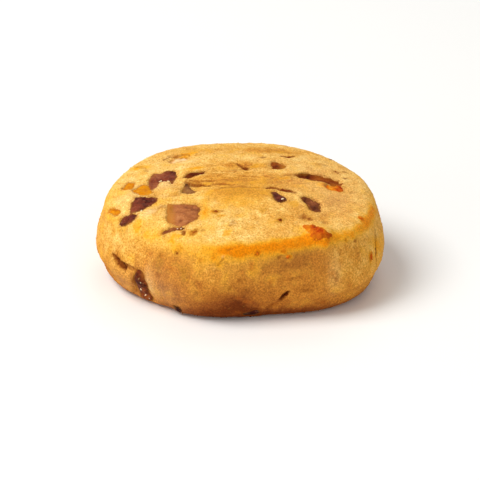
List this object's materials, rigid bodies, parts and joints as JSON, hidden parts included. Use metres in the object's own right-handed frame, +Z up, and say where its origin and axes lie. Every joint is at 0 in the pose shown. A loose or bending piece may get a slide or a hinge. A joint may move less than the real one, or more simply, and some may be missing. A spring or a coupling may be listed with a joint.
{
  "type": "chestnut cookie",
  "caption": "Thick round-edged slice-and-bake cookie with a low domed top, a flat base and diced chestnut set into its dough.",
  "frame": {"origin": "middle of the box round the base, on the surface the cookie lies on", "axes": "+Z up through the thickness, +X along the longer axis of the outline, -Y towards the side shown in the picture"},
  "size_m": [0.0498, 0.0438, 0.0175],
  "materials": {
    "dough": "baked butter dough, dry and sandy: pale yellow top, orange-brown edge, tan side, browner base",
    "chestnut_flesh": "cooked chestnut, purple-brown cut faces with a soft dull sheen",
    "chestnut_skin": "dark maroon-brown inner skin on chestnut dice",
    "chestnut_glaze": "syrup-glazed brown chestnut, wet and glossy",
    "candied_chestnut": "amber candied chestnut, translucent with a low gloss",
    "toasted_chestnut": "orange-brown toasted chestnut, browned at the edges"
  },
  "bodies": {
    "root": {"dough": "dough", "chestnut_back_bar": "chestnut_flesh", "chestnut_back_leg": "chestnut_flesh", "chestnut_grey": "chestnut_flesh", "chestnut_large": "chestnut_flesh", "chestnut_far_small": "chestnut_flesh", "chestnut_right_dice": "chestnut_flesh", "chestnut_side_back": "chestnut_flesh", "chestnut_base_large": "chestnut_flesh", "chestnut_left_dark": "chestnut_skin", "chestnut_left_wedge": "chestnut_skin", "chestnut_front_flake": "chestnut_skin", "chestnut_right_skin": "chestnut_skin", "chestnut_long_slab": "chestnut_skin", "chestnut_base_front": "chestnut_skin", "chestnut_base_left": "chestnut_skin", "chestnut_side_far_left": "chestnut_skin", "chestnut_side_far_right": "chestnut_skin", "chestnut_base_dark": "chestnut_skin", "chestnut_in_crack": "chestnut_glaze", "candied_large": "candied_chestnut", "candied_small": "candied_chestnut", "candied_edge": "candied_chestnut", "candied_pale": "candied_chestnut", "candied_side_back": "candied_chestnut", "candied_side_left": "candied_chestnut", "candied_base": "candied_chestnut", "toasted_slab_end": "toasted_chestnut", "toasted_edge_lump": "toasted_chestnut", "toasted_side_right": "toasted_chestnut"}
  },
  "joints": []
}
